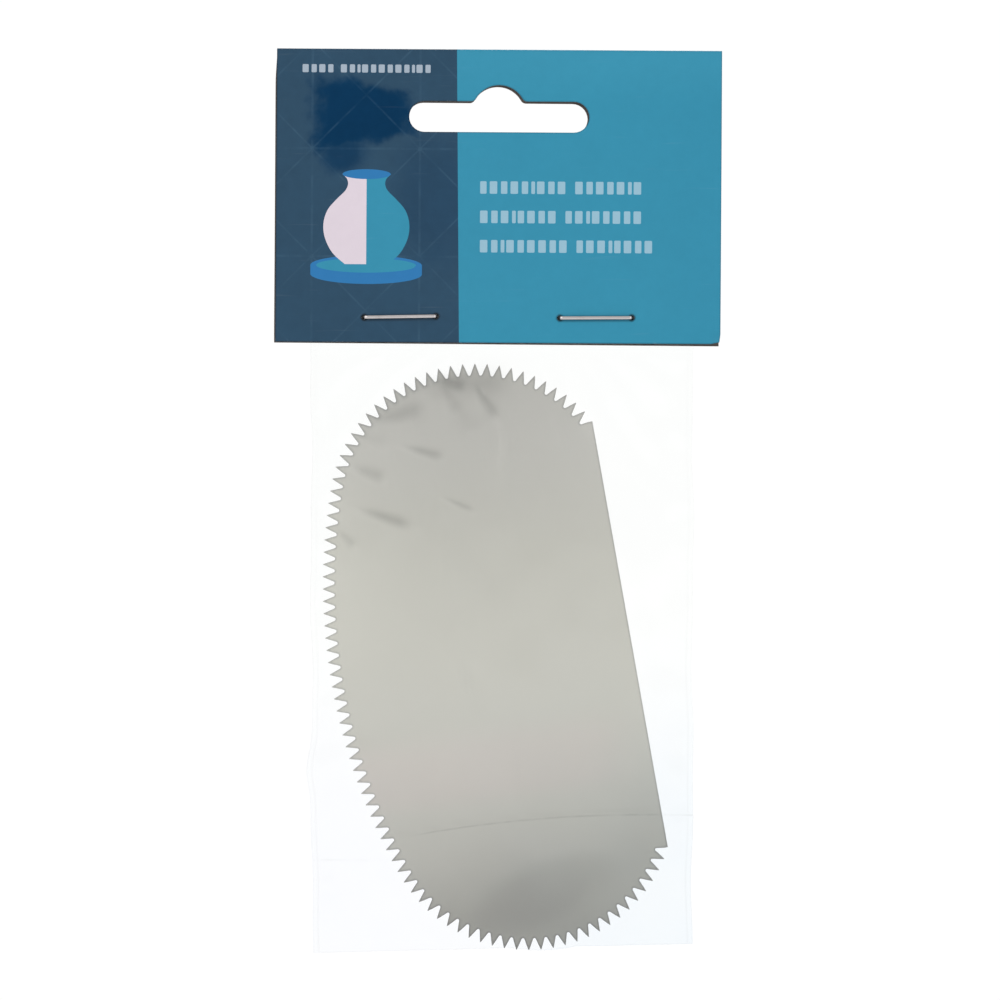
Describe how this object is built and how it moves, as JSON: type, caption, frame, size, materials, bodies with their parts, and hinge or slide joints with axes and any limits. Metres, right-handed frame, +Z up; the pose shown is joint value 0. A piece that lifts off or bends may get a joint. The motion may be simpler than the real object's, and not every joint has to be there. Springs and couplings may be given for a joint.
{
  "type": "serrated clay scraper in a hang pack",
  "caption": "Half-moon steel clay scraper with a toothed edge, loose in a clear film bag that is stapled into a folded header card with a hang slot.",
  "frame": {"origin": "top of the hang slot's hump, midway between the header card's two panels: the point a display peg carries", "axes": "+Z up the hanging pack, -Y out of the printed front, +X to the right as seen from the front"},
  "size_m": [0.0766, 0.002, 0.1554],
  "materials": {
    "printed_board": "coated print, satin",
    "staple_wire": "bright drawn wire",
    "clear_film": "clear gloss film",
    "blade_steel": "satin rolled strip"
  },
  "bodies": {
    "header": {"header_card": "printed_board", "staple_left": "staple_wire", "staple_right": "staple_wire", "bag_mouth": "clear_film"},
    "bag": {"bag_neck": "clear_film", "bag_pocket": "clear_film"},
    "scraper": {"scraper_blade": "blade_steel"}
  },
  "joints": [
    {"name": "bag_swing", "type": "hinge", "parent": "header", "child": "bag", "pos_m": [0, 0, -0.04475], "axis": [1, 0, 0], "range_deg": [-120, 120], "deforming": ["bag_neck"]},
    {"name": "scraper_slide", "type": "slide", "parent": "bag", "child": "scraper", "axis": [0, 0, 1], "range_m": [0, 0.0018]}
  ]
}
